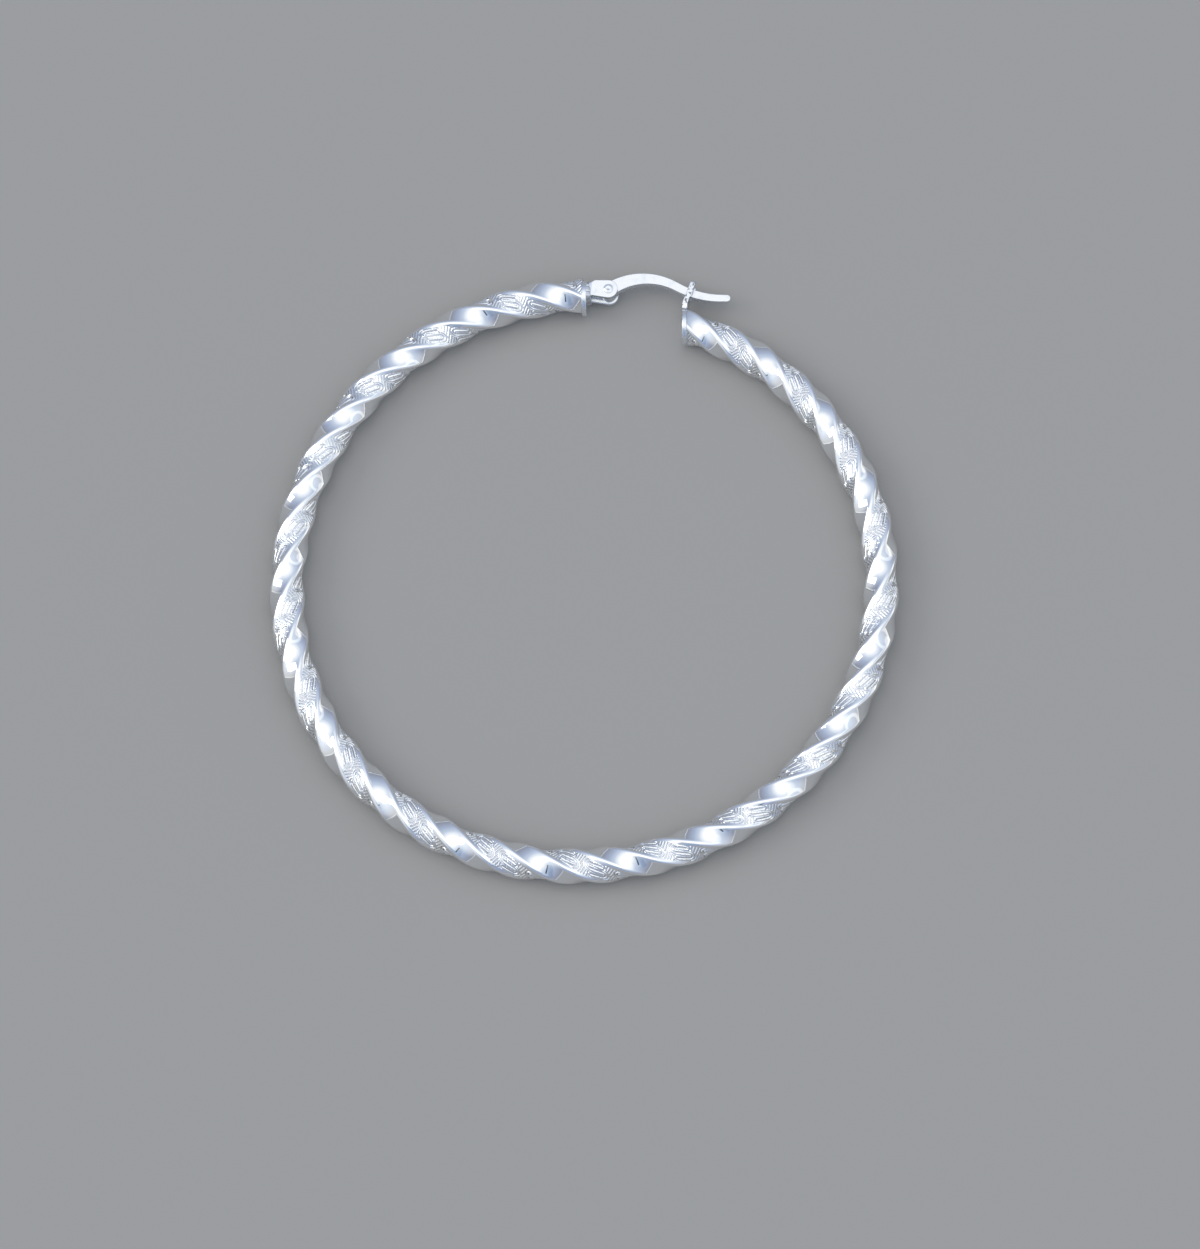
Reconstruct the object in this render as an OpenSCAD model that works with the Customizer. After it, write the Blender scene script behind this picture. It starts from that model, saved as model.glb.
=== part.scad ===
// Hinged creole hoop earring of hollow twisted square tube, lying flat.
// Millimetres, +Z up. X runs along the gap at the top of the hoop, from the hinge to the catch,
// and +Y points from the middle of the hoop out through that gap.

/* [Hoop] */
// Radius of the tube's centre line
hoop_r = 25.97; // [22:0.01:30]
// How far the bent hoop is out of round, in three shallow lobes
out_of_round = 0.12; // [0:0.01:0.3]
// Direction of the first lobe
lobe_dir = -19; // [-60:1:60]
// Direction of the tube's catch end, seen from the middle of the hoop
catch_dir = 69.8; // [66:0.1:74]
// How far the catch end is sprung inward
catch_inset = 1.05; // [0:0.05:1.5]
// Stretch of hoop, in degrees, that is sprung inward
catch_bend = 80; // [40:5:120]
// Direction of the tube's hinge end
hinge_dir = 91.6; // [90:0.1:96]
// How far the hinge end is sprung outward
hinge_outset = 0.2; // [0:0.05:0.5]
// Stretch of hoop, in degrees, that is sprung outward
hinge_bend = 60; // [40:5:120]

/* [Twisted tube] */
// Width of the tube across two opposite corners
corner_d = 3.1; // [2.6:0.05:3.15]
// Half of the angle that a plain flat takes up in the section, from the tube's middle
plain_half = 38.5; // [36:0.5:45]
// Radius of the rounded corners outside
corner_r = 0.44; // [0.3:0.01:0.5]
// Thickness of the tube's wall
wall = 0.3; // [0.2:0.05:0.4]
// Crown of the plain flats
plain_crown = 0.045; // [0:0.005:0.1]
// Crown of the engraved flats
engraved_crown = 0.12; // [0:0.01:0.2]
// Stretch of hoop, in degrees, over which the tube makes half a turn
half_turn = 16.5; // [12:0.01:24]
// Direction at which a plain flat faces straight up
plain_up_dir = 51.15; // [40:0.05:70]
// Stretch of hoop, in degrees, over which the saw cuts at the ends fade out
cut_fade = 11; // [8:1:20]
// Rings of points along the tube
rings = 150; // [80:2:160]

/* [End discs and hinge bracket] */
// Diameter of the two discs that close the tube
disc_d = 3.2; // [3.15:0.05:3.6]
// Thickness of the discs, the bracket and the catch
plate_t = 0.4; // [0.3:0.05:0.5]
// How far the hinge disc sits below the middle of the tube
disc_drop = 0.25; // [0:0.05:0.3]
// Distance of the rivet from the hinge disc's outer face
rivet_reach = 1.93; // [1.6:0.01:2.4]
// Distance of the rivet outward from the middle of the hinge disc
rivet_rise = 0.55; // [0.2:0.05:0.7]
// Width of the bracket's ears, which end in a half circle round the rivet
ear_w = 1.64; // [1.5:0.02:2]
// Angle by which the ears' lower edge tapers towards the disc
ear_taper = 9; // [0:1:12]
// Width of the bracket over both ears
bracket_span = 2.1; // [1.9:0.05:2.4]
// Outer radius of the bracket's two bends
bracket_bend_r = 0.5; // [0.45:0.05:0.8]
// Radius of the rivet's shank
rivet_r = 0.33; // [0.25:0.01:0.4]
// Radius of the rivet's heads
rivet_head_r = 0.44; // [0.4:0.01:0.55]
// Height of the rivet's heads over the ears
rivet_head_h = 0.08; // [0.05:0.01:0.15]

/* [Ear wire] */
// Radius of the round knuckle that turns on the rivet
knuckle_r = 0.72; // [0.65:0.01:0.8]
// Radial clearance of the knuckle's bore on the rivet
bore_gap = 0.05; // [0.02:0.01:0.08]
// Clearance between the knuckle and each ear
ear_gap = 0.1; // [0.05:0.01:0.15]
// Distance of the top of the arch from the rivet along the gap
arch_x = 3.25; // [2.8:0.05:3.4]
// Height of the arch's centre line over the rivet
arch_y = 1.25; // [1.1:0.05:1.5]
// Radius of the arch between the rivet and its top
arch_rise_r = 5.4; // [5:0.1:6]
// Angle at which the arch starts at the knuckle
arch_rise = 38; // [34:1:40]
// Radius of the arch from its top down to the catch
arch_fall_r = 5.6; // [5:0.1:8]
// Slope at which the wire comes down to the catch
arch_fall = 27.5; // [20:0.5:30]
// Length of the straight stretch in front of the catch
wire_straight = 0.5; // [0.2:0.1:2]
// Radius of the upturned foot
foot_r = 8; // [6:0.5:12]
// Length of the straight tip
tip_len = 0.5; // [0:0.1:1]
// Width of the wire at the knuckle
wire_w_root = 1.22; // [1:0.02:1.3]
// Width of the wire at the foot of the arch
wire_w_foot = 0.74; // [0.6:0.02:0.9]
// Width of the wire at the tip
wire_w_tip = 0.62; // [0.5:0.02:0.7]
// Thickness of the wire at the knuckle
wire_t_root = 0.86; // [0.7:0.02:1]
// Thickness of the wire at the tip
wire_t_tip = 0.6; // [0.5:0.02:0.7]

/* [Catch] */
// Width of the forked tab
tab_w = 2.1; // [1.9:0.05:2.4]
// Distance from the middle of the catch disc to the tab's bend
tab_bend_y = 1.85; // [1.7:0.05:2.1]
// Inner radius of the tab's bend
tab_bend_r = 0.4; // [0.3:0.05:0.8]
// Angle by which the tab leans over the tube
tab_lean = 20; // [10:1:26]
// Length of the tab past its bend
tab_len = 2.1; // [1.8:0.05:2.3]
// Width of the fork between the prongs
fork_w = 0.94; // [0.9:0.02:1.1]
// Distance from the bend to the bottom of the fork
fork_y = 0.5; // [0.3:0.05:0.8]

/* [Hidden] */
$fn = 48;
eps = 0.01;
// The middle of the hoop, placed so that the origin is under the middle of the whole part
hoop_x = -0.07;
hoop_y = -0.46;
hoop_z = disc_d / 2;
tube_arc = 360 - (hinge_dir - catch_dir);

// The tube's centre line: s runs from 0 at the catch end to 1 at the hinge end, clockwise from above
function dir_at(s) = catch_dir - s * tube_arc;
function ramp(x, span) = pow(max(0, 1 - x / span), 2);
function radius_at(s) =
    hoop_r
    + out_of_round * cos(3 * (dir_at(s) - lobe_dir))
    - catch_inset * ramp(s * tube_arc, catch_bend)
    + hinge_outset * ramp((1 - s) * tube_arc, hinge_bend);
// Both ends are sawn square to X, and the cut fades into square sections along the tube
function cut_skew(s) =
    (90 - catch_dir) * ramp(s * tube_arc, cut_fade)
    + (90 - hinge_dir) * ramp((1 - s) * tube_arc, cut_fade);
function turn_at(s) = 90 - (dir_at(s) - plain_up_dir) * 180 / half_turn;

// Section of the tube, from the middles of its four rounded corners. The flats lie between
// the corners: nearly flat plain ones at 0 and 180 degrees, fuller engraved ones at 90 and 270.
corner_steps = 3;
side_points = corner_steps + 3;
inner_r = corner_r - wall / 2;
function on_circle(r, a) = [r * cos(a), r * sin(a)];
corner_x = (corner_d / 2 - corner_r) * cos(plain_half);
corner_y = (corner_d / 2 - corner_r) * sin(plain_half);
function corner(k, inset) = let (x = corner_x - inset, y = corner_y - inset)
    [[x, y], [-x, y], [-x, -y], [x, -y]][k % 4];
function bulge(k) = k % 2 == 0 ? engraved_crown : plain_crown;
function outer_side(k) = concat(
    [for (a = [0:90 / corner_steps:90]) corner(k, 0) + on_circle(corner_r, 90 * k + a)],
    [for (f = [1 / 3, 2 / 3])
        corner(k, 0) * (1 - f) + corner(k + 1, 0) * f + on_circle(corner_r + bulge(k), 90 * k + 90)]);
outer_section = [for (k = [0:3]) each outer_side(k)];
inner_section = [for (k = [0:3], a = [0, 90])
    corner(k, wall - corner_r + inner_r) + on_circle(inner_r, 90 * k + a)];
outer_n = len(outer_section);
inner_n = len(inner_section);
ring_n = outer_n + inner_n;

function spin(p, a) = [p[0] * cos(a) - p[1] * sin(a), p[0] * sin(a) + p[1] * cos(a)];
function tube_point(p, s) =
    let (q = spin(p, turn_at(s)), a = dir_at(s), skew = cut_skew(s), u = q[0] / cos(skew))
    [radius_at(s) * cos(a) + u * cos(a + skew), radius_at(s) * sin(a) + u * sin(a + skew), q[1]];
function end_point(s) = radius_at(s) * [cos(dir_at(s)), sin(dir_at(s))];

// A band of triangles between the same run of points on two neighbouring rings
function band(from, n, i, flip) = [for (j = [0:n - 1]) let (
        a = i * ring_n + from + j,
        b = i * ring_n + from + (j + 1) % n,
        c = a + ring_n,
        d = b + ring_n)
    each flip ? [[a, d, b], [a, c, d]] : [[a, b, d], [a, d, c]]];
// The sawn end face between the outer and the inner points of one side
function end_side(k, flip) =
    let (
        o = k * side_points,
        p = (o + side_points) % outer_n,
        a = outer_n + 2 * k,
        b = a + 1,
        c = outer_n + (2 * k + 2) % inner_n,
        tris = [[o, o + 1, a], [o + 1, b, a], [o + 1, o + 2, b], [o + 2, o + 3, b],
            [o + 3, o + 4, b], [o + 4, c, b], [o + 4, o + 5, c], [o + 5, p, c]])
    [for (t = tris) flip ? [t[0], t[2], t[1]] : t];

// Centre of the rivet, and the stations of the ear wire's centre line
catch_end = end_point(0);
hinge_end = end_point(1);
hinge_disc_x = hinge_end[0] + plate_t;
hinge_disc_y = hinge_end[1] - disc_drop;
rivet_x = hinge_disc_x + rivet_reach;
rivet_y = hinge_disc_y + rivet_rise;
apex = [rivet_x + arch_x, rivet_y + arch_y];
fall_end = apex + arch_fall_r * [sin(arch_fall), cos(arch_fall) - 1];
straight_end = fall_end + wire_straight * [cos(arch_fall), -sin(arch_fall)];
foot_end = straight_end + foot_r * [sin(arch_fall), cos(arch_fall) - 1];
tip = foot_end + [tip_len, 0];
// Each station is a point on the wire's centre line and its slope there
arc_steps = 8;
rise_stations = [for (i = [0:arc_steps - 1]) let (a = arch_rise * (1 - i / arc_steps))
    [apex + arch_rise_r * [-sin(a), cos(a) - 1], a]];
fall_stations = [for (i = [0:arc_steps]) let (a = arch_fall * i / arc_steps)
    [apex + arch_fall_r * [sin(a), cos(a) - 1], -a]];
foot_stations = [for (i = [0:arc_steps]) let (a = arch_fall * (1 - i / arc_steps))
    [foot_end + foot_r * [-sin(a), 1 - cos(a)], -a]];
wire_stations = concat(rise_stations, fall_stations, foot_stations, [[tip, 0]]);
function wire_w_at(x) =
    lookup(x, [[rivet_x, wire_w_root], [fall_end[0], wire_w_foot], [tip[0], wire_w_tip]]);
function wire_edge(side) = [for (p = wire_stations)
    p[0] + side * wire_w_at(p[0][0]) / 2 * [-sin(p[1]), cos(p[1])]];
wire_tip_round = [for (i = [1:2 * arc_steps - 1]) tip + on_circle(wire_w_tip / 2, 90 - 90 * i / arc_steps)];
function backward(list) = [for (i = [len(list) - 1:-1:0]) list[i]];

// Hollow tube of twisted square section, open at its two sawn ends
module hoop_tube() {
    points = [for (i = [0:rings], p = concat(outer_section, inner_section))
        tube_point(p, i / rings)];
    outside = [for (i = [0:rings - 1]) each band(0, outer_n, i, false)];
    inside = [for (i = [0:rings - 1]) each band(outer_n, inner_n, i, true)];
    catch_face = [for (k = [0:3]) each end_side(k, true)];
    hinge_face = [for (k = [0:3], t = end_side(k, false)) t + rings * ring_n * [1, 1, 1]];
    color("gainsboro")
        translate([hoop_x, hoop_y, hoop_z])
            polyhedron(points, concat(outside, inside, catch_face, hinge_face));
}

// A disc standing square to X, with its outer face at x = 0
module end_disc(t) {
    rotate([0, 90, 0]) cylinder(h = t, d = disc_d);
}

// The bracket seen from +Y: a strip bent to a U, with its web on the disc
module bracket_bend() {
    half = bracket_span / 2;
    inner_bend_r = bracket_bend_r - plate_t;
    difference() {
        union() {
            translate([0, bracket_bend_r - half])
                square([rivet_reach + ear_w, bracket_span - 2 * bracket_bend_r]);
            for (side = [-1, 1]) {
                translate([bracket_bend_r, side * (half - bracket_bend_r)]) circle(bracket_bend_r);
                translate([bracket_bend_r, side > 0 ? 0 : -half])
                    square([rivet_reach + ear_w - bracket_bend_r, half]);
            }
        }
        translate([plate_t, inner_bend_r + plate_t - half])
            square([rivet_reach + 2 * ear_w, bracket_span - 2 * bracket_bend_r]);
        for (side = [-1, 1]) {
            translate([bracket_bend_r, side * (half - bracket_bend_r)]) circle(inner_bend_r);
        }
        translate([bracket_bend_r, plate_t - half])
            square([rivet_reach + 2 * ear_w, bracket_span - 2 * plate_t]);
    }
}

// Outline of one ear, seen from above
module ear_outline() {
    r = ear_w / 2;
    low = [rivet_reach - r * sin(ear_taper), -r * cos(ear_taper)];
    polygon([[0, r], [rivet_reach, r], [rivet_reach, 0], low, [0, low[1] + low[0] * tan(ear_taper)]]);
    translate([rivet_reach, 0]) circle(r);
}

// Disc that closes the tube, with the hinge's U-shaped bracket soldered to it
module hinge_fitting() {
    color("silver")
        translate([hoop_x + hinge_disc_x, hoop_y, hoop_z]) {
            translate([-plate_t, hinge_disc_y, 0]) end_disc(plate_t);
            translate([0, rivet_y, 0])
                difference() {
                    intersection() {
                        rotate([90, 0, 0])
                            linear_extrude(height = 2 * ear_w, center = true) bracket_bend();
                        linear_extrude(height = 2 * bracket_span, center = true) ear_outline();
                    }
                    translate([rivet_reach, 0, 0])
                        cylinder(h = 2 * bracket_span, r = rivet_r, center = true);
                }
        }
}

// Rivet through both ears, with its two peened heads
module hinge_rivet() {
    half = bracket_span / 2;
    color("silver")
        translate([hoop_x + rivet_x, hoop_y + rivet_y, hoop_z]) {
            cylinder(h = bracket_span, r = rivet_r - eps, center = true);
            for (side = [0, 1])
                mirror([0, 0, side])
                    translate([0, 0, half]) cylinder(h = rivet_head_h, r = rivet_head_r);
        }
}

// The wire seen from above
module wire_outline() {
    polygon(concat(wire_edge(1), wire_tip_round, backward(wire_edge(-1))));
}

// The wire's taper, seen from the side
module wire_taper() {
    x0 = rivet_x - knuckle_r;
    x1 = tip[0] + wire_w_tip;
    polygon([[x0, -wire_t_root / 2], [x1, -wire_t_tip / 2], [x1, wire_t_tip / 2], [x0, wire_t_root / 2]]);
}

// Arched wire that goes through the ear lobe and turns on the rivet
module ear_wire() {
    knuckle_h = bracket_span - 2 * plate_t - 2 * ear_gap;
    color("whitesmoke")
        translate([hoop_x, hoop_y, hoop_z])
            difference() {
                union() {
                    intersection() {
                        linear_extrude(height = 2 * wire_t_root, center = true) wire_outline();
                        translate([0, rivet_y, 0])
                            rotate([90, 0, 0])
                                linear_extrude(height = 4 * arch_y, center = true) wire_taper();
                    }
                    translate([rivet_x, rivet_y, 0])
                        cylinder(h = knuckle_h, r = knuckle_r, center = true);
                }
                translate([rivet_x, rivet_y, 0])
                    cylinder(h = 2 * knuckle_h, r = rivet_r + bore_gap, center = true);
            }
}

// The tab past its bend, with the fork that the wire drops into
module forked_tab() {
    prong_w = (tab_w - fork_w) / 2;
    difference() {
        union() {
            translate([0, 0, -tab_w / 2]) cube([plate_t, tab_len - prong_w / 2, tab_w]);
            for (side = [-1, 1])
                translate([0, tab_len - prong_w / 2, side * (tab_w - prong_w) / 2])
                    rotate([0, 90, 0]) cylinder(h = plate_t, d = prong_w);
        }
        translate([-plate_t, fork_y + fork_w / 2, 0])
            rotate([0, 90, 0]) cylinder(h = 3 * plate_t, d = fork_w);
        translate([-plate_t, fork_y + fork_w / 2, -fork_w / 2])
            cube([3 * plate_t, tab_len, fork_w]);
    }
}

// Disc that closes the tube's other end, with the bent and forked tab of the catch
module catch_plate() {
    color("silver")
        translate([hoop_x + catch_end[0] - plate_t, hoop_y + catch_end[1], hoop_z]) {
            end_disc(plate_t);
            translate([0, 0, -tab_w / 2]) cube([plate_t, tab_bend_y, tab_w]);
            translate([plate_t + tab_bend_r, tab_bend_y, 0]) {
                rotate([0, 0, 180 - tab_lean])
                    rotate_extrude(angle = tab_lean)
                        translate([tab_bend_r, -tab_w / 2]) square([plate_t, tab_w]);
                rotate([0, 0, -tab_lean]) translate([-tab_bend_r - plate_t, 0, 0]) forked_tab();
            }
        }
}

hoop_tube();
hinge_fitting();
hinge_rivet();
ear_wire();
catch_plate();
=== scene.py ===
from math import cos, pi, radians, sin, tan

import bmesh
import bpy
import numpy as np
from mathutils import Matrix, Vector


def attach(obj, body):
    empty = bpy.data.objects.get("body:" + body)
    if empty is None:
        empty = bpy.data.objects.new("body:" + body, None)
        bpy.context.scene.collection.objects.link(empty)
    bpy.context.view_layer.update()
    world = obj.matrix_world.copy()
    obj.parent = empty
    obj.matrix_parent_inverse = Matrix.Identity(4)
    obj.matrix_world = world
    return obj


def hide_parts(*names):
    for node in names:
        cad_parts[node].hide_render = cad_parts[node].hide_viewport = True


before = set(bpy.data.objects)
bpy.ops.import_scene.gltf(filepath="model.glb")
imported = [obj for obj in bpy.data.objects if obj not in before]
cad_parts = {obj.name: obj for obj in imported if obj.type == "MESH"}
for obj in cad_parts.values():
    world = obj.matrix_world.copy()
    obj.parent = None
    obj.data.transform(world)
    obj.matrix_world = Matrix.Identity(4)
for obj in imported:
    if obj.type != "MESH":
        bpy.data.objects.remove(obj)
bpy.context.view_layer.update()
mm = 0.001

print("stage: camera")

cameraView = {
    "imageSize": (1200, 1249),          # the photo's frame in pixels
    "focalPixels": 5500,                # focal length in those pixels
    "sensor": 36,
    "elevation": radians(73),
    "azimuth": radians(11),
    "roll": radians(-10),
    "distance": 479 * mm,
    "target": Vector((1.50, -4.60, 1.55)) * mm,
    "clip": (10 * mm, 20),
}


def makeCamera(v):
    a, e, roll = v["azimuth"], v["elevation"], v["roll"]
    back = Vector((sin(a) * cos(e), -cos(a) * cos(e), sin(e)))
    side = Vector((0, 0, 1)).cross(back).normalized()
    above = back.cross(side)
    right = side * cos(roll) + above * sin(roll)
    up = above * cos(roll) - side * sin(roll)
    data = bpy.data.cameras.new("photoCamera")
    data.sensor_width = v["sensor"]
    data.lens = v["focalPixels"] / max(v["imageSize"]) * v["sensor"]
    data.clip_start, data.clip_end = v["clip"]
    camera = bpy.data.objects.new("photoCamera", data)
    bpy.context.scene.collection.objects.link(camera)
    turn = Matrix((right, up, back)).transposed().to_4x4()
    camera.matrix_world = Matrix.Translation(v["target"] + back * v["distance"]) @ turn
    bpy.context.scene.camera = camera


makeCamera(cameraView)

print("stage: light")

lightTent = {                           # azimuth is counted from +X and elevation from the floor, in degrees
    "wall": [                           # elevation, colour
        (0, (0.24, 0.27, 0.33)),
        (12, (0.30, 0.33, 0.42)),
        (32, (0.39, 0.46, 0.61)),
        (50, (0.57, 0.65, 0.78)),
        (62, (0.80, 0.86, 0.93)),
        (74, (1.04, 1.05, 1.05)),
    ],
    "lamps": [                          # azimuth, elevation, half width, soft edge, colour
        (110, 82, 12, 26, (0.12, 0.10, 0.09)),
        (350, 12, 14, 44, (0.25, 0.25, 0.22)),
        (22, 14, 9, 8, (0.26, 0.25, 0.21)),
        (196, 24, 14, 34, (0.36, 0.35, 0.29)),
        (192, 62, 10, 8, (0.26, 0.19, 0.12)),
        (330, 60, 8, 14, (0.18, 0.17, 0.13)),
        (266, 42, 4, 12, (-0.06, -0.06, -0.06)),
        (262, 66, 10, 16, (-0.06, -0.05, -0.03)),
    ],
    "ring": (6, 29, 27, 5, 5, (0.27, 0.26, 0.22)),   # azimuth, elevation, radius, width, soft edge, colour
    "panels": [                         # azimuth, elevation, half width, half height, soft edge, tilt, colour
        (173, 35, 14.5, 11, 1.5, -5, (2.30, 2.30, 2.25)),             # the bright panel
        (265, 52, 15, 1.7, 1.0, -29, (-0.42, -0.48, -0.58)),          # the tent's dark seam
        (266, 37, 20, 4, 6, -42, (-0.09, -0.08, -0.07)),              # a soft shade under it
    ],
    "skirting": (2.5, (0.22, 0.22, 0.20)),           # bright rim at the foot of the wall
    "floor": (0.30, 0.30, 0.31),
    "panelFront": 0.1,                  # cosine from which a panel is full; below 0 there is none of it
    "horizon": -0.01,                   # sine of the elevation at which the floor's colour is full
}


def nodesOf(tree):
    tree.nodes.clear()
    return tree.nodes, tree.links


def direction(azimuth, elevation):
    a, e = radians(azimuth), radians(elevation)
    return Vector((cos(a) * cos(e), sin(a) * cos(e), sin(e)))


def makeWorld(t):
    world = bpy.data.worlds.new("lightTent")
    bpy.context.scene.world = world
    world.use_nodes = True
    nodes, links = nodesOf(world.node_tree)
    where = nodes.new("ShaderNodeTexCoord")
    unit = nodes.new("ShaderNodeVectorMath")
    unit.operation = "NORMALIZE"
    links.new(where.outputs["Generated"], unit.inputs[0])

    def facing(way):
        along = nodes.new("ShaderNodeVectorMath")
        along.operation = "DOT_PRODUCT"
        along.inputs[1].default_value = way
        links.new(unit.outputs[0], along.inputs[0])
        return along.outputs["Value"]

    def smooth(value, start, end):
        step = nodes.new("ShaderNodeMapRange")
        step.interpolation_type = "SMOOTHSTEP"
        step.inputs["From Min"].default_value = start
        step.inputs["From Max"].default_value = end
        links.new(value, step.inputs["Value"])
        return step.outputs["Result"]

    def times(a, b):
        product = nodes.new("ShaderNodeMath")
        product.operation = "MULTIPLY"
        links.new(a, product.inputs[0])
        links.new(b, product.inputs[1])
        return product.outputs[0]

    def addLight(total, mask, colour):
        tinted = nodes.new("ShaderNodeVectorMath")
        tinted.operation = "SCALE"
        tinted.inputs[0].default_value = colour
        links.new(mask, tinted.inputs["Scale"])
        added = nodes.new("ShaderNodeVectorMath")
        links.new(total, added.inputs[0])
        links.new(tinted.outputs[0], added.inputs[1])
        return added.outputs[0]

    def panel(azimuth, elevation, wide, high, soft, tilt):
        side, above = direction(azimuth + 90, 0), direction(azimuth, elevation + 90)
        c, s = cos(radians(tilt)), sin(radians(tilt))
        mask = smooth(facing(direction(azimuth, elevation)), 0, t["panelFront"])
        for way, half in ((side * c + above * s, wide), (above * c - side * s, high)):
            off = nodes.new("ShaderNodeMath")
            off.operation = "ABSOLUTE"
            links.new(facing(way), off.inputs[0])
            mask = times(mask, smooth(off.outputs[0], sin(radians(half + soft)), sin(radians(half))))
        return mask

    height = facing(direction(0, 90))
    ramp = nodes.new("ShaderNodeValToRGB")
    links.new(height, ramp.inputs["Fac"])
    stops = ramp.color_ramp.elements
    stops[0].position, stops[0].color = 0, (*t["wall"][0][1], 1)
    stops[1].position, stops[1].color = sin(radians(t["wall"][-1][0])), (*t["wall"][-1][1], 1)
    for elevation, colour in t["wall"][1:-1]:
        stops.new(sin(radians(elevation))).color = (*colour, 1)
    total = ramp.outputs["Color"]
    for azimuth, elevation, half, soft, colour in t["lamps"]:
        glow = smooth(facing(direction(azimuth, elevation)), cos(radians(half + soft)), cos(radians(half)))
        total = addLight(total, glow, colour)
    azimuth, elevation, radius, width, soft, colour = t["ring"]
    along = facing(direction(azimuth, elevation))
    outside = smooth(along, cos(radians(radius + soft)), cos(radians(radius)))
    inside = smooth(along, cos(radians(radius - width)), cos(radians(radius - width - soft)))
    clear = nodes.new("ShaderNodeMath")
    clear.operation = "SUBTRACT"
    clear.inputs[0].default_value = 1
    links.new(inside, clear.inputs[1])
    total = addLight(total, times(outside, clear.outputs[0]), colour)
    for *shape, colour in t["panels"]:
        total = addLight(total, panel(*shape), colour)
    rim, colour = t["skirting"]
    total = addLight(total, smooth(height, sin(radians(2 * rim)), sin(radians(rim))), colour)
    floorMix = nodes.new("ShaderNodeMix")
    floorMix.data_type = "RGBA"
    floorMix.inputs["B"].default_value = (*t["floor"], 1)
    links.new(smooth(height, 0, t["horizon"]), floorMix.inputs["Factor"])
    links.new(total, floorMix.inputs["A"])
    light = nodes.new("ShaderNodeBackground")
    links.new(floorMix.outputs["Result"], light.inputs["Color"])
    out = nodes.new("ShaderNodeOutputWorld")
    links.new(light.outputs[0], out.inputs["Surface"])


makeWorld(lightTent)
bpy.context.scene.view_settings.view_transform = "Standard"

print("stage: floor")

floorCard = {"half": 1.5, "colour": (0.395, 0.385, 0.37), "roughness": 0.9, "shine": 0.2}


def makeFloor(f):
    h = f["half"]
    mesh = bpy.data.meshes.new("floor")
    mesh.from_pydata([(-h, -h, 0), (h, -h, 0), (h, h, 0), (-h, h, 0)], [], [(0, 1, 2, 3)])
    material = bpy.data.materials.new("paleCard")
    material.use_nodes = True
    shader = material.node_tree.nodes["Principled BSDF"]
    shader.inputs["Base Color"].default_value = (*f["colour"], 1)
    shader.inputs["Roughness"].default_value = f["roughness"]
    shader.inputs["Specular IOR Level"].default_value = f["shine"]
    mesh.materials.append(material)
    floor = bpy.data.objects.new("floor", mesh)
    bpy.context.scene.collection.objects.link(floor)


makeFloor(floorCard)

print("stage: silver")


def makeGroup(name, inputs, outputs):
    group = bpy.data.node_groups.new(name, "ShaderNodeTree")
    for label, value in inputs.items():
        socket = group.interface.new_socket(label, in_out="INPUT", socket_type="NodeSocketFloat")
        socket.default_value = value
    for label in outputs:
        group.interface.new_socket(label, in_out="OUTPUT", socket_type="NodeSocketFloat")
    return group, group.nodes.new("NodeGroupInput").outputs, group.nodes.new("NodeGroupOutput").inputs


def mathNode(tree, operation, a, b):
    node = tree.nodes.new("ShaderNodeMath")
    node.operation = operation
    for socket, value in zip(node.inputs, (a, b)):
        if isinstance(value, (int, float)):
            socket.default_value = value
        else:
            tree.links.new(value, socket)
    return node.outputs[0]


def noiseOf(tree, vector, scale, detail):
    noise = tree.nodes.new("ShaderNodeTexNoise")
    noise.inputs["Detail"].default_value = detail
    tree.links.new(vector, noise.inputs["Vector"])
    tree.links.new(scale, noise.inputs["Scale"])
    return noise.outputs["Fac"]


patchRange = (0.46, 0.72)               # noise at which a dulled patch starts and is full


def makeHandling():
    # soft patches where the polish has been dulled by fingers
    group, given, result = makeGroup("handling", {"Patches per mm": 1, "Amount": 1}, ["Dull"])
    where = group.nodes.new("ShaderNodeTexCoord")
    scale = mathNode(group, "DIVIDE", given["Patches per mm"], mm)
    cloud = noiseOf(group, where.outputs["Object"], scale, 3)
    patch = group.nodes.new("ShaderNodeMapRange")
    patch.interpolation_type = "SMOOTHSTEP"
    patch.inputs["From Min"].default_value, patch.inputs["From Max"].default_value = patchRange
    group.links.new(cloud, patch.inputs["Value"])
    group.links.new(mathNode(group, "MULTIPLY", patch.outputs["Result"], given["Amount"]), result["Dull"])
    return group


def makeToolMarks():
    # fine lines left by the file and the polishing wheel, drawn out along one axis, over a coarser waviness
    group, given, result = makeGroup(
        "toolMarks", {"Lines per mm": 12, "Stretch": 0.1, "Waves per mm": 1, "Wave share": 0.5}, ["Height"])
    where = group.nodes.new("ShaderNodeTexCoord")
    squeeze = group.nodes.new("ShaderNodeCombineXYZ")
    squeeze.inputs["Y"].default_value = 1
    squeeze.inputs["Z"].default_value = 1
    group.links.new(given["Stretch"], squeeze.inputs["X"])
    drawn = group.nodes.new("ShaderNodeVectorMath")
    drawn.operation = "MULTIPLY"
    group.links.new(where.outputs["Object"], drawn.inputs[0])
    group.links.new(squeeze.outputs[0], drawn.inputs[1])
    lines = noiseOf(group, drawn.outputs[0], mathNode(group, "DIVIDE", given["Lines per mm"], mm), 2)
    waves = noiseOf(group, where.outputs["Object"], mathNode(group, "DIVIDE", given["Waves per mm"], mm), 1)
    blend = group.nodes.new("ShaderNodeMix")
    group.links.new(given["Wave share"], blend.inputs["Factor"])
    group.links.new(lines, blend.inputs["A"])
    group.links.new(waves, blend.inputs["B"])
    group.links.new(blend.outputs["Result"], result["Height"])
    return group


handling = makeHandling()
toolMarks = makeToolMarks()

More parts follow.
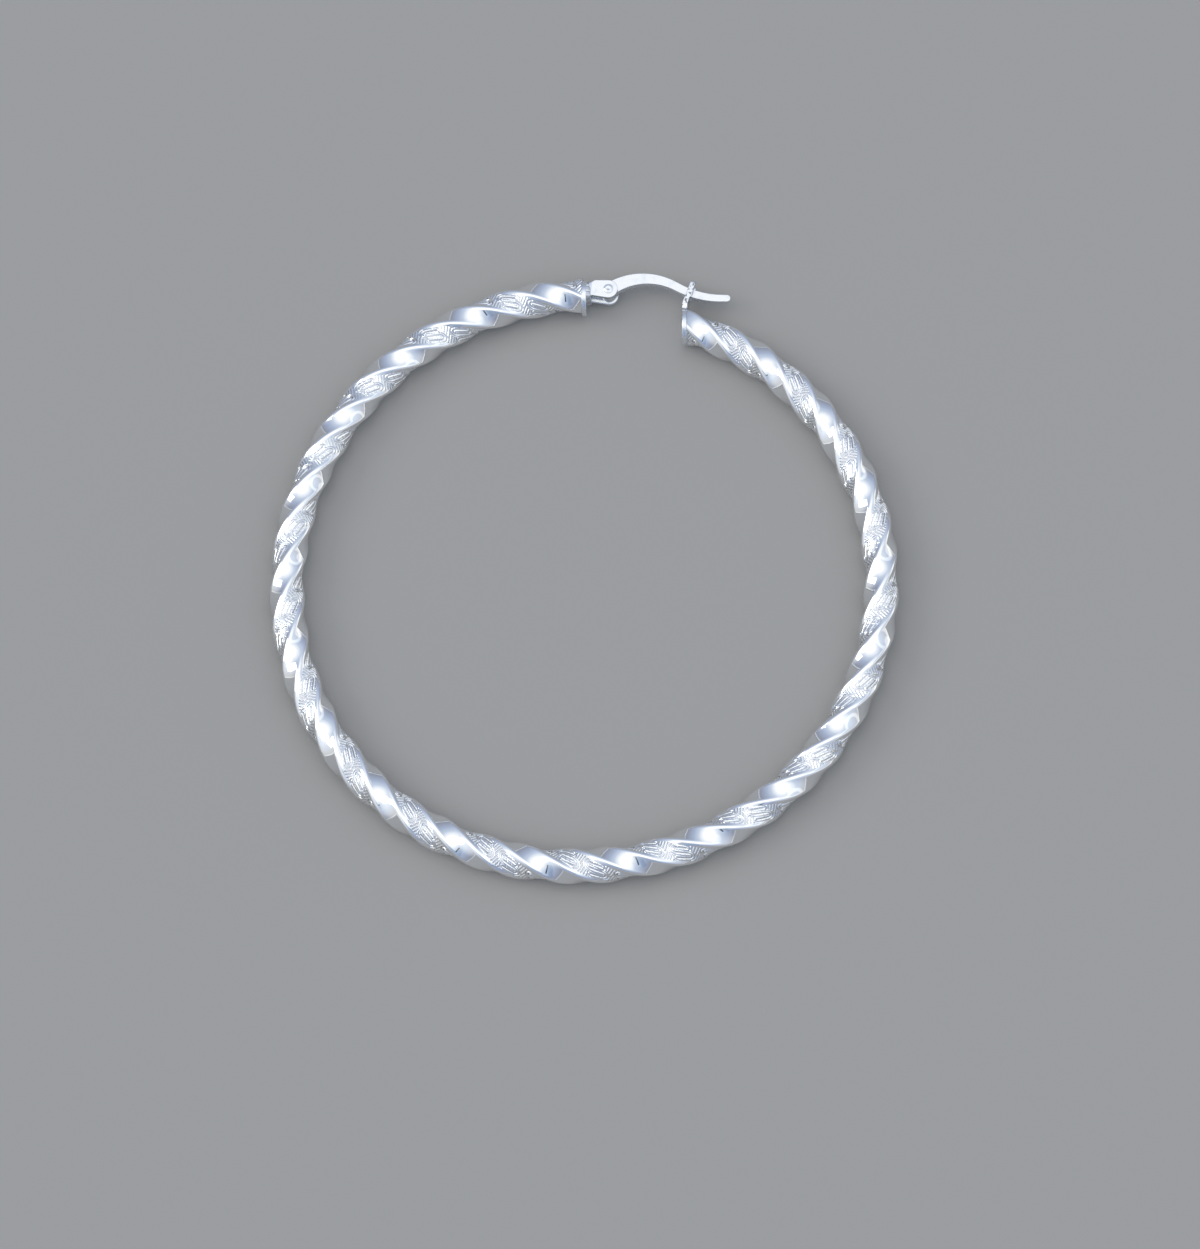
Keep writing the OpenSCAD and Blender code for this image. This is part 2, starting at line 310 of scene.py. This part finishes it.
silverFinish = {
    "polishedSilver": {
        # cutColour darkens the cut lines: partly patina in the grooves, partly painted shade
        "colour": (0.96, 0.97, 0.985), "cutColour": (0.86, 0.88, 0.91),
        "roughness": 0.035, "engravedRoughness": 0.06, "cutRoughness": 0.06, "dullRoughness": 0.05,
        "patches": 0.45, "lines": 9, "stretch": 1, "waves": 0.9, "waveShare": 0.8, "markHeight": 0.0012,
    },
    "satinSilver": {
        "colour": (0.87, 0.90, 0.94), "cutColour": (0.45, 0.46, 0.50),
        "roughness": 0.22, "engravedRoughness": 0.0, "cutRoughness": 0.2, "dullRoughness": 0.14,
        "patches": 1.6, "lines": 14, "stretch": 0.25, "waves": 2.4, "waveShare": 0.45, "markHeight": 0.0045,
    },
    "paintedSpeckSilver": {                     # the catch's tab, with small dark specks that are painted reflections, not pits in the shape
        "colour": (0.86, 0.89, 0.93), "cutColour": (0.30, 0.30, 0.34),
        "paintedSpecks": 3.4, "paintedSpeckRange": (0.55, 0.62),           # painted reflection specks per mm, and the noise at a speck's rim and middle
        "roughness": 0.16, "engravedRoughness": 0.0, "cutRoughness": 0.3, "dullRoughness": 0.14,
        "patches": 1.6, "lines": 9, "stretch": 0.6, "waves": 3, "waveShare": 0.6, "markHeight": 0.010,
    },
}


def makeSilver(name, f):
    # the meshes carry "cut", how deep a point lies in a cut line and so how much darker it is drawn, and
    # "engraved", 1 on the engraved flats
    material = bpy.data.materials.new(name)
    material.use_nodes = True
    tree = material.node_tree
    shader = tree.nodes["Principled BSDF"]
    shader.inputs["Metallic"].default_value = 1

    def carried(label):
        node = tree.nodes.new("ShaderNodeAttribute")
        node.attribute_name = label
        return node.outputs["Fac"]

    def placed(group, values):
        node = tree.nodes.new("ShaderNodeGroup")
        node.node_tree = group
        for label, value in values.items():
            node.inputs[label].default_value = value
        return node.outputs[0]

    cut, engraved = carried("cut"), carried("engraved")
    # painted reflections: noise spots drawn as dark specks in the tab's colour, with more roughness
    if "paintedSpecks" in f:
        where = tree.nodes.new("ShaderNodeTexCoord")
        spots = tree.nodes.new("ShaderNodeTexNoise")
        spots.inputs["Scale"].default_value = f["paintedSpecks"] / mm
        tree.links.new(where.outputs["Object"], spots.inputs["Vector"])
        speckMask = tree.nodes.new("ShaderNodeMapRange")
        speckMask.inputs["From Min"].default_value, speckMask.inputs["From Max"].default_value = f["paintedSpeckRange"]
        tree.links.new(spots.outputs["Fac"], speckMask.inputs["Value"])
        cut = mathNode(tree, "MAXIMUM", cut, speckMask.outputs["Result"])
    dull = placed(handling, {"Patches per mm": f["patches"], "Amount": f["dullRoughness"]})
    tint = tree.nodes.new("ShaderNodeMix")
    tint.data_type = "RGBA"
    tint.inputs["A"].default_value = (*f["colour"], 1)
    tint.inputs["B"].default_value = (*f["cutColour"], 1)
    tree.links.new(cut, tint.inputs["Factor"])
    tree.links.new(tint.outputs["Result"], shader.inputs["Base Color"])
    rough = mathNode(tree, "ADD", dull, f["roughness"])
    rough = mathNode(tree, "ADD", rough, mathNode(tree, "MULTIPLY", engraved, f["engravedRoughness"]))
    rough = mathNode(tree, "ADD", rough, mathNode(tree, "MULTIPLY", cut, f["cutRoughness"]))
    tree.links.new(rough, shader.inputs["Roughness"])
    bump = tree.nodes.new("ShaderNodeBump")
    bump.inputs["Distance"].default_value = f["markHeight"] * mm
    marks = placed(toolMarks, {"Lines per mm": f["lines"], "Stretch": f["stretch"],
                               "Waves per mm": f["waves"], "Wave share": f["waveShare"]})
    tree.links.new(marks, bump.inputs["Height"])
    tree.links.new(bump.outputs["Normal"], shader.inputs["Normal"])
    return material


silver = {name: makeSilver(name, finish) for name, finish in silverFinish.items()}


def makePiece(name, mesh, body, replaced, material):
    mesh.materials.append(silver[material])
    piece = bpy.data.objects.new(name, mesh)
    bpy.context.scene.collection.objects.link(piece)
    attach(piece, body)
    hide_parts(replaced)
    return piece


print("stage: twisted tube")

hoop = {                                # millimetres and degrees, as the tube is bent
    "radius": 25.97, "middle": (-0.07, -0.46, 1.6),
    "outOfRound": 0.12, "lobes": 3, "lobeDir": -19,
    "catchDir": 69.8, "catchInset": 1.05, "catchBend": 80,
    "hingeDir": 91.6, "hingeOutset": 0.2, "hingeBend": 60,
    "halfTurn": 16.5, "plainUpDir": 51.15, "cutFade": 11,
    "cornerD": 3.1, "plainHalf": 38.5, "cornerR": 0.44,
    "plainCrown": 0.05, "engravedCrown": 0.135,
    "cornerSteps": 4, "plainSteps": 4, "engravedSteps": 42,
    "arcs": 5, "ringsPerArc": 860,
}

ornament = {                            # cut into the engraved flats, in millimetres
    "unit": 2.461, "first": 1.70,       # length of one repeat, and where its scroll lies from the catch end
    "bar": 0.48, "turnR": 0.25,         # half length of the bars and radius of the turns at their ends
    "grooveDepth": 0.085, "barLineDepth": 0.026, "beadPitch": 0.40, "notchDepth": 0.028, "barFade": 0.08,
    "lineWidth": 0.060, "lineDepth": 0.090,
    "nestPitch": 0.23, "nestDepth": 0.078, "nestReach": 0.37, "nestFade": 0.04,
    "stripePitch": 0.235, "stripeSlant": 0.5, "stripeDepth": 0.066, "stripeFade": 0.05,
    "border": 0.10,                     # the cuts run out to nothing over this much of the flat's edge
}

tubeArc = 360 - (hoop["hingeDir"] - hoop["catchDir"])   # degrees that the tube runs round


def fadeOut(x, span):
    return np.maximum(0, 1 - x / span) ** 2


def hoopPlace(q, s):
    # q is a point of the section, s runs clockwise from 0 at the catch end to 1 at the hinge end
    dirAt = hoop["catchDir"] - s * tubeArc
    radius = (hoop["radius"]
              + hoop["outOfRound"] * np.cos(np.radians(hoop["lobes"] * (dirAt - hoop["lobeDir"])))
              - hoop["catchInset"] * fadeOut(s * tubeArc, hoop["catchBend"])
              + hoop["hingeOutset"] * fadeOut((1 - s) * tubeArc, hoop["hingeBend"]))
    skew = np.radians((90 - hoop["catchDir"]) * fadeOut(s * tubeArc, hoop["cutFade"])
                      + (90 - hoop["hingeDir"]) * fadeOut((1 - s) * tubeArc, hoop["cutFade"]))
    turn = np.radians(90 - (dirAt - hoop["plainUpDir"]) * 180 / hoop["halfTurn"])
    x = q[..., 0] * np.cos(turn) - q[..., 1] * np.sin(turn)
    z = q[..., 0] * np.sin(turn) + q[..., 1] * np.cos(turn)
    a = np.radians(dirAt)
    u = x / np.cos(skew)
    mx, my, mz = hoop["middle"]
    return np.stack([radius * np.cos(a) + u * np.cos(a + skew) + mx,
                     radius * np.sin(a) + u * np.sin(a + skew) + my, z + mz], -1)


def sectionColumns(h):
    # one row for each point round the section: its foot, its way out, its height over the foot,
    # its place across the flat, and how far it counts as engraved
    cx = (h["cornerD"] / 2 - h["cornerR"]) * cos(radians(h["plainHalf"]))
    cy = (h["cornerD"] / 2 - h["cornerR"]) * sin(radians(h["plainHalf"]))
    corners = np.array([(cx, cy), (-cx, cy), (-cx, -cy), (cx, -cy)])
    rows = []
    for k in range(4):
        here, there = corners[k], corners[(k + 1) % 4]
        for a in np.radians(np.linspace(90 * k, 90 * k + 90, h["cornerSteps"] + 1)):
            rows.append((*here, cos(a), sin(a), h["cornerR"], 0, 0))
        cut = k % 2 == 0
        steps, crown = (h["engravedSteps"], h["engravedCrown"]) if cut else (h["plainSteps"], h["plainCrown"])
        width = np.linalg.norm(there - here)
        a = radians(90 * k + 90)
        for f in np.linspace(0, 1, steps + 1)[1:-1]:
            v = (f - 0.5) * width
            inset = min(1, (width / 2 - abs(v)) / ornament["border"]) if cut else 0
            rise = h["cornerR"] + (1 - (2 * f - 1) ** 2) * crown
            rows.append((*(here * (1 - f) + there * f), cos(a), sin(a), rise, v, inset))
    return np.array(rows)


def cutDepth(u, v):
    # depth of the ornament; u along and v across the band. Each repeat is a group of beaded bars with deep
    # grooves between them, round turns at both its ends, finer lines nested round those, and slanted stripes
    o = ornament
    x = (u - o["first"] + o["unit"] / 2) % o["unit"] - o["unit"] / 2
    r = o["turnR"]
    beyond, across = np.abs(x) - o["bar"], v * np.where(x < 0, -1, 1)
    away = np.minimum(np.abs(np.hypot(beyond, across - r) - r), np.hypot(beyond, across + 2 * r))
    line = np.exp(-(away / o["lineWidth"]) ** 2)
    inBars = np.clip((o["barFade"] - beyond) / o["barFade"], 0, 1)

    def narrow(wave):
        return (1 - np.abs(wave)) ** 2
    grooves = o["grooveDepth"] * narrow(np.sin(pi * v / (2 * r)))
    barLines = o["barLineDepth"] * narrow(np.cos(pi * v / (2 * r)))
    notches = np.maximum(barLines, o["notchDepth"] * narrow(np.cos(pi * x / o["beadPitch"])))
    nested = (0.5 + 0.5 * np.cos(2 * pi * away / o["nestPitch"])) ** 2
    nested *= np.clip((away - o["nestPitch"] / 2) / o["nestFade"], 0, 1)
    middle = (u - o["first"]) % o["unit"] - o["unit"] / 2 + o["stripeSlant"] * v
    stripes = (0.5 - 0.5 * np.cos(2 * pi * middle / o["stripePitch"])) ** 2
    outer = np.clip((away - o["nestReach"]) / o["stripeFade"], 0, 1)
    around = (o["lineDepth"] * line + o["nestDepth"] * nested * (1 - outer)
              + o["stripeDepth"] * stripes * outer)
    return np.maximum(grooves, notches) * inBars + around * (1 - inBars)


columns = sectionColumns(hoop)


def carved(s, du=0, dv=0):
    # depth of the cut at each point of the rings, or a little along and across from it
    along = np.radians(s * tubeArc) * hoop["radius"]
    return columns[:, 6] * cutDepth(along[:, None] + du, columns[None, :, 5] + dv)


def section(s, depth=0):
    # rings of the tube's outside
    return columns[:, 0:2] + (columns[:, 4] - depth + 0 * s[:, None])[..., None] * columns[:, 2:4]


def tubeNormals(s):
    # the smooth tube's normals, leaned over by the slopes of the cuts; step is a small share of the tube's
    # length, and small a distance in millimetres
    step, small = 1e-5, 0.004

    def unit(vectors):
        return vectors / np.linalg.norm(vectors, axis=-1, keepdims=True)
    points = hoopPlace(section(s), s[:, None])
    along = unit(hoopPlace(section(s + step), s[:, None] + step)
                 - hoopPlace(section(s - step), s[:, None] - step))
    around = unit(np.roll(points, -1, 1) - np.roll(points, 1, 1))
    slopeU = (carved(s, du=small) - carved(s, du=-small)) / (2 * small)
    slopeV = (carved(s, dv=small) - carved(s, dv=-small)) / (2 * small)
    return unit(unit(np.cross(around, along)) + slopeU[..., None] * along + slopeV[..., None] * around)


def makeTube(index):
    count = hoop["arcs"]
    s = np.linspace(index / count, (index + 1) / count, hoop["ringsPerArc"] + 1)
    depth = carved(s)
    points = hoopPlace(section(s, depth), s[:, None])
    rings, n = points.shape[:2]
    ids = np.arange(rings * n).reshape(rings, n)
    nextId = np.roll(ids, -1, 1)
    faces = np.stack([ids[:-1], nextId[:-1], nextId[1:], ids[1:]], -1).reshape(-1, 4).tolist()
    faces += [ids[0, ::-1].tolist(), ids[-1].tolist()]
    mesh = bpy.data.meshes.new(f"hoopTube{index + 1}")
    mesh.from_pydata((points.reshape(-1, 3) * mm).tolist(), [], faces)
    mesh.polygons.foreach_set("use_smooth", [True] * len(mesh.polygons))
    # the deeper a point lies in a cut, the darker it is drawn: patina in the grooves together with painted
    # shade
    for label, values in (("cut", np.clip(depth / ornament["grooveDepth"], 0, 1)),
                          ("engraved", np.broadcast_to(columns[:, 6], depth.shape))):
        mesh.attributes.new(label, "FLOAT", "POINT").data.foreach_set("value", values.ravel().astype("f"))
    makePiece(mesh.name, mesh, "hoop", "hoop_tube", "polishedSilver")
    mesh.normals_split_custom_set_from_vertices(tubeNormals(s).reshape(-1, 3).tolist())


for index in range(hoop["arcs"]):
    makeTube(index)

print("stage: fittings")


def ringFaces(count, n, closed=False):
    ids = np.arange(count * n).reshape(count, n)
    above = np.roll(ids, -1, 0) if closed else ids[1:]
    below = ids if closed else ids[:-1]
    quads = np.stack([below, np.roll(below, -1, 1), np.roll(above, -1, 1), above], -1).reshape(-1, 4).tolist()
    return quads if closed else quads + [ids[0, ::-1].tolist(), ids[-1].tolist()]


def roundedPlate(outline, thickness, edge, bevel=None, steps=4):
    # a plate lying in XY about z = 0, its edges rounded over by edge: how far in and how far down;
    # with a bevel, its lower edges are filed off instead
    outline = np.array(outline, float)
    ahead = np.roll(outline, -1, 0) - outline
    ahead /= np.linalg.norm(ahead, axis=1, keepdims=True)
    out = np.stack([ahead[:, 1], -ahead[:, 0]], -1)
    behind = np.roll(out, 1, 0)
    corner = (out + behind) / (1 + np.sum(out * behind, 1, keepdims=True))
    turn = np.linspace(0, pi / 2, steps + 1)
    rounded = np.column_stack([edge[0] * (1 - np.sin(turn)), edge[1] * (1 - np.cos(turn)) - thickness / 2])
    low = rounded
    if bevel:
        part = np.linspace(0, 1, steps + 1)
        low = np.column_stack([bevel[0] * (1 - part), bevel[1] * part - thickness / 2])
    levels = np.concatenate([low, rounded[::-1] * (1, -1)])
    points = [np.column_stack([outline - d * corner, np.full(len(outline), z)]) for d, z in levels]
    return np.concatenate(points), ringFaces(len(levels), len(outline))


def turned(profile, closed=False, steps=96):
    # a profile of (radius, height) pairs, from the lowest up, spun about Z
    a = np.linspace(0, 2 * pi, steps, endpoint=False)
    points = [np.column_stack([r * np.cos(a), r * np.sin(a), np.full(steps, z)]) for r, z in profile]
    return np.concatenate(points), ringFaces(len(profile), steps, closed)


def arcPoints(centre, radius, start, end, steps):
    a = np.radians(np.linspace(start, end, steps + 1))
    return [(centre[0] + radius * cos(t), centre[1] + radius * sin(t)) for t in a]


def bent(shape, start, heading, stretches, cuts=6):
    # lays a flat strip, x along it, on a path of (length, turn to the left in degrees) pieces;
    # gives path x, path y and the place across the strip
    points, faces = shape
    strip = bmesh.new()
    corners = [strip.verts.new(p) for p in points]
    for face in faces:
        strip.faces.new([corners[i] for i in face])
    legs, at, here, way = [], 0, np.array(start, float), radians(heading)
    for length, turn in stretches:
        legs.append((at, length, radians(turn), here, way))
        if turn:
            for k in range(cuts + 1):
                everything = strip.verts[:] + strip.edges[:] + strip.faces[:]
                bmesh.ops.bisect_plane(strip, geom=everything, plane_co=(at + length * k / cuts, 0, 0),
                                       plane_no=(1, 0, 0), dist=1e-6)
        here, way = walk(legs[-1], length)
        at += length
    moved = []
    for vert in strip.verts:
        leg = [g for g in legs if g[0] <= max(vert.co.x, 0)][-1]
        place, heading = walk(leg, vert.co.x - leg[0])
        moved.append((*(place + vert.co.z * np.array((-sin(heading), cos(heading)))), vert.co.y))
    strip.verts.index_update()
    result = np.array(moved), [[v.index for v in face.verts] for face in strip.faces]
    strip.free()
    return result


def walk(leg, distance):
    at, length, turn, start, way = leg
    if not turn:
        return start + distance * np.array((cos(way), sin(way))), way
    radius, t = length / turn, turn * distance / length
    return start + radius * np.array((sin(way + t) - sin(way), cos(way) - cos(way + t))), way + t


solderWaves = ((0.18, 3, 1), (0.12, 7, 0), (0.07, 17, 2))   # share of the radius, waves round the bead, start


def solderBead(path, radius, reach=1, steps=12):
    # an uneven bead along a closed path that lies square to X; its section is stretched along X by reach
    path = np.array(path)
    along = np.roll(path, -1, 0) - np.roll(path, 1, 0)
    out = np.stack([np.zeros(len(path)), along[:, 2], -along[:, 1]], -1)
    out /= np.linalg.norm(out, axis=1, keepdims=True)
    t = np.linspace(0, 2 * pi, len(path), endpoint=False)
    size = radius * (1 + sum(share * np.sin(waves * t + start) for share, waves, start in solderWaves))
    a = np.linspace(0, 2 * pi, steps, endpoint=False)
    rings = (path[:, None] + (size[:, None] * np.cos(a))[..., None] * out[:, None]
             + (size[:, None] * np.sin(a))[..., None] * np.array((reach, 0, 0)))
    return rings.reshape(-1, 3), ringFaces(len(path), steps, closed=True)


def fittingMesh(name, shapes, cutAt=None):
    # joins closed shapes, given in millimetres, into one mesh; cutAt gives how dark each of its points is
    joined = bmesh.new()
    for points, faces in shapes:
        corners = [joined.verts.new(p) for p in points]
        for face in faces:
            joined.faces.new([corners[i] for i in face])
    bmesh.ops.recalc_face_normals(joined, faces=joined.faces)
    mesh = bpy.data.meshes.new(name)
    joined.to_mesh(mesh)
    joined.free()
    depth = [cutAt(vert.co) if cutAt else 0 for vert in mesh.vertices]
    mesh.attributes.new("cut", "FLOAT", "POINT").data.foreach_set("value", depth)
    mesh.transform(Matrix.Scale(mm, 4))
    mesh.polygons.foreach_set("use_smooth", [True] * len(mesh.polygons))
    return mesh


flatWeight = 90                         # how much the large faces count, so that they look flat


def makeFitting(name, shapes, body, replaced, cutAt=None, material="satinSilver"):
    mesh = fittingMesh(name, shapes, cutAt)
    piece = makePiece(name, mesh, body, replaced, material)
    piece.modifiers.new("flatFaces", "WEIGHTED_NORMAL").weight = flatWeight


def moved(shape, place, order=(0, 1, 2)):
    # order says which of the shape's own axes becomes X, Y and Z
    points, faces = shape
    return points[:, order] + np.array(place), faces


plate = {                               # the sheet of the two end discs, and the solder that holds them
    "thickness": 0.4, "discD": 3.2, "rimR": 0.06,
    "discDrop": 0.25,                   # how far the hinge's disc sits towards the inside of the hoop
    "solderR": 0.05, "solderCut": 0.35,
}
catchEnd = hoopPlace(np.zeros(2), np.float64(0))
hingeEnd = hoopPlace(np.zeros(2), np.float64(1))


def roundRim(outer, half, rim, steps=4):
    # the outside of a disc in profile, from its lower edge to its upper one
    turn = np.radians(np.linspace(0, 90, steps + 1))
    lower = [(outer - rim * (1 - sin(t)), rim * (1 - cos(t)) - half) for t in turn]
    return lower + [(r, -z) for r, z in lower[::-1]]


def endDisc():
    return turned(roundRim(plate["discD"] / 2, plate["thickness"] / 2, plate["rimR"]), steps=144)


def tubeEndSeam(s):
    ring = hoopPlace(section(np.array([s])), np.array([[s]]))[0]
    return solderBead(ring, plate["solderR"])


def solderShade(co):
    # the solder is as dark at every point
    return plate["solderCut"]


hinge = {
    "rivetReach": 1.93, "rivetRise": 0.55, "earWidth": 1.64, "earTaper": 9,
    "edge": (0.04, 0.04), "innerBevel": (0.34, 0.09),    # how far in and how far down the edges are taken off
    "shoulder": (0.30, 0.24),           # where the strip starts to narrow, before its bend, and by how much
    "span": 2.1, "bendR": 0.5, "webLow": 0.555,
    "solderR": 0.24, "solderReach": 1.6, "solderTop": 0.45, "solderSide": 0.88,
    "shankR": 0.32,
    "head": [                           # radius and height over the ear of the peened head
        (0.44, -0.02), (0.44, 0.015), (0.42, 0.040), (0.385, 0.030), (0.35, 0.052),
        (0.29, 0.076), (0.22, 0.080), (0.15, 0.074), (0.09, 0.052), (0.045, 0.030),
    ],
    "ringR": 0.385, "ringWidth": 0.03, "dimpleWidth": 0.07, "headShade": 0.4,    # painted shade in the head's ring groove and middle dimple
}
rivetPlace = np.array((hingeEnd[0] + plate["thickness"] + hinge["rivetReach"],
                       hingeEnd[1] - plate["discDrop"] + hinge["rivetRise"], hingeEnd[2]))


def makeBracket(h):
    # the strip is laid flat, from the tip of one ear over the web to the tip of the other
    r, taper, t = h["earWidth"] / 2, h["earTaper"], plate["thickness"]
    ear = h["rivetReach"] + r - h["bendR"]
    bend = pi / 2 * (h["bendR"] - t / 2)
    web = h["span"] - 2 * h["bendR"]
    length = 2 * (ear + bend) + web
    tangent = (r + r * sin(radians(taper)), -r * cos(radians(taper)))
    atBend = tangent[1] + (ear - tangent[0]) * tan(radians(taper))
    low = [tangent, (ear, atBend), (ear + bend, -h["webLow"])]
    low += [(length - x, y) for x, y in low[::-1]]
    outline = low[1:-1] + arcPoints((length - r, 0), r, -90 - taper, 90, 40)
    start, drop = h["shoulder"]
    for x in np.linspace(length - ear + start, ear - start, 48):
        fall = min(1, (min(x, length - x) - ear + start) / (start + bend / 2))
        outline.append((x, r - drop * (1 - cos(pi * fall)) / 2))
    outline += arcPoints((r, 0), r, 90, 270 + taper, 40)
    strip = roundedPlate(outline, t, h["edge"], h["innerBevel"])
    turn = -90
    shape = bent(strip, (h["rivetReach"] + r, t / 2 - h["span"] / 2), 180,
                 [(ear, 0), (bend, turn), (web, 0), (bend, turn), (ear, 0)])
    foot = np.array((hingeEnd[0] + t, rivetPlace[1], rivetPlace[2]))
    half, high = h["solderSide"], h["solderTop"]
    lowEdge = -h["webLow"] - t / 4
    upright, across = np.linspace(lowEdge, high, 24), np.linspace(-half, half, 20)[1:-1]
    loop = [(0, y, -half) for y in upright] + [(0, high, z) for z in across]
    loop += [(0, y, half) for y in upright[::-1]] + [(0, lowEdge, z) for z in across[::-1]]
    disc = moved(endDisc(), (hingeEnd[0] + t / 2, hingeEnd[1] - plate["discDrop"], hingeEnd[2]), (2, 0, 1))
    makeFitting("hingeDisc", [disc], "hoop", "hinge_fitting")
    makeFitting("hingeBracket", [moved(shape, foot, (0, 2, 1))], "hoop", "hinge_fitting")
    bead = solderBead(np.array(loop) + foot, h["solderR"], h["solderReach"])
    makeFitting("hingeSolder", [bead, tubeEndSeam(1.0)], "hoop", "hinge_fitting", solderShade)


def makeRivet(h):
    half = h["span"] / 2
    upper = [(r, half + z) for r, z in h["head"]]
    profile = [(r, -z) for r, z in upper[::-1]] + [(h["shankR"], -half), (h["shankR"], half)] + upper

    # painted shade: the head's ring groove and middle dimple are drawn darker
    def groove(co):
        away = np.hypot(co.x - rivetPlace[0], co.y - rivetPlace[1])
        ring = np.exp(-((away - h["ringR"]) / h["ringWidth"]) ** 2)
        dimple = np.exp(-(away / h["dimpleWidth"]) ** 2)
        return float(ring + dimple) * h["headShade"]
    makeFitting("hingeRivet", [moved(turned(profile), rivetPlace)], "hoop", "hinge_rivet", groove)


makeBracket(hinge)
makeRivet(hinge)

wire = {                                # arch, as lengths from the rivet, radii and slopes in degrees
    "arch": (3.25, 1.22), "riseR": 5.4, "rise": 38, "fallR": 5.6, "fall": 27.5,
    "straight": 0.5, "footR": 8, "tip": 0.5,
    "width": (1.24, 0.76, 0.64), "thickness": (0.86, 0.6), "edge": (0.04, 0.05),
    "knuckleR": 0.72, "knuckleHigh": 1.1, "boreR": 0.38, "knuckleEdge": 0.12,
}


def makeEarWire(w):
    apex = np.array(w["arch"])
    fall = radians(w["fall"])
    fallEnd = apex + w["fallR"] * np.array((sin(fall), cos(fall) - 1))
    straightEnd = fallEnd + w["straight"] * np.array((cos(fall), -sin(fall)))
    footEnd = straightEnd + w["footR"] * np.array((sin(fall), cos(fall) - 1))
    tip = footEnd + np.array((w["tip"], 0))
    middle = [(apex + w["riseR"] * np.array((-sin(a), cos(a) - 1)), a)
              for a in np.radians(np.linspace(w["rise"], 0, 24, endpoint=False))]
    middle += [(apex + w["fallR"] * np.array((sin(a), cos(a) - 1)), -a) for a in np.linspace(0, fall, 17)]
    middle += [(footEnd + w["footR"] * np.array((-sin(a), 1 - cos(a))), -a) for a in np.linspace(fall, 0, 17)]
    middle.append((tip, 0))
    narrow = w["width"][-1]

    def edge(side):
        rows = []
        for place, slope in middle:
            width = np.interp(place[0], (0, fallEnd[0], tip[0]), w["width"])
            rows.append(place + side * width / 2 * np.array((-sin(slope), cos(slope))))
        return rows
    outline = edge(-1) + arcPoints(tip, narrow / 2, -90, 90, 18)[1:-1] + edge(1)[::-1]
    thick, thin = w["thickness"]
    points, faces = roundedPlate(outline, thick, w["edge"], steps=8)
    start, end = -w["knuckleR"], tip[0] + narrow
    points[:, 2] *= 1 + (thin / thick - 1) * (points[:, 0] - start) / (end - start)
    inner, half = w["boreR"], w["knuckleHigh"] / 2
    profile = [(inner, half), (inner, -half)] + roundRim(w["knuckleR"], half, w["knuckleEdge"])
    makeFitting("earWire", [moved((points, faces), rivetPlace), moved(turned(profile, True), rivetPlace)],
                "wire", "ear_wire")


makeEarWire(wire)

catch = {
    "width": 2.1, "bendY": 1.85, "bendR": 0.4, "lean": 20, "length": 2.1,
    "forkWidth": 0.94, "forkY": 0.5, "thickness": 0.44, "edge": (0.02, 0.03),
    "hidden": 0.95,                     # the tab starts inside the disc, this far from the disc's middle
}


def makeCatch(c):
    # the strip is laid flat, x along it from inside the disc to the tips of its two prongs
    t = plate["thickness"]
    straight = c["bendY"] - c["hidden"]
    bend = radians(c["lean"]) * (c["bendR"] + t / 2)
    end = straight + bend + c["length"]
    half, fork = c["width"] / 2, c["forkWidth"] / 2
    prong = (half - fork) / 2
    bottom = straight + bend + c["forkY"] + fork
    outline = [(0, -half)] + arcPoints((end - prong, -half + prong), prong, -90, 90, 16)
    outline += arcPoints((bottom, 0), fork, 270, 90, 24)
    outline += arcPoints((end - prong, half - prong), prong, -90, 90, 16) + [(0, half)]
    strip = roundedPlate(outline, c["thickness"], c["edge"])
    shape = bent(strip, (-t / 2, c["hidden"]), 90, [(straight, 0), (bend, -c["lean"]), (c["length"], 0)])
    disc = moved(endDisc(), (catchEnd[0] - t / 2, catchEnd[1], catchEnd[2]), (2, 0, 1))
    makeFitting("catchDisc", [disc], "hoop", "catch_plate")
    makeFitting("catchTab", [moved(shape, catchEnd)], "hoop", "catch_plate", material="paintedSpeckSilver")
    makeFitting("catchSolder", [tubeEndSeam(0.0)], "hoop", "catch_plate", solderShade)


makeCatch(catch)

print("stage: finish")
